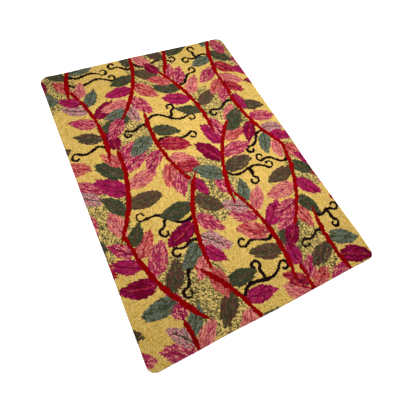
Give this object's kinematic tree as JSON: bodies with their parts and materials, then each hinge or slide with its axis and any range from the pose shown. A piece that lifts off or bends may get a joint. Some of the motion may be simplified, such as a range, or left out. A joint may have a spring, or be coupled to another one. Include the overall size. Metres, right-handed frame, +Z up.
{
  "type": "tufted rug",
  "caption": "Flat rectangular hand-tufted wool rug with rounded corners, a rolled cut-pile edge and a plain flat underside.",
  "frame": {"origin": "on the floor, under the centre of the rug's outline", "axes": "+X across the rug, +Y along its length, +Z up out of the pile"},
  "size_m": [1.405, 2.0042, 0.0126],
  "materials": {
    "pile": "matte cut wool pile in golden yellow, with leafy sprigs in pinks and greens on red stems"
  },
  "bodies": {
    "root": {"rug": "pile"}
  },
  "joints": []
}
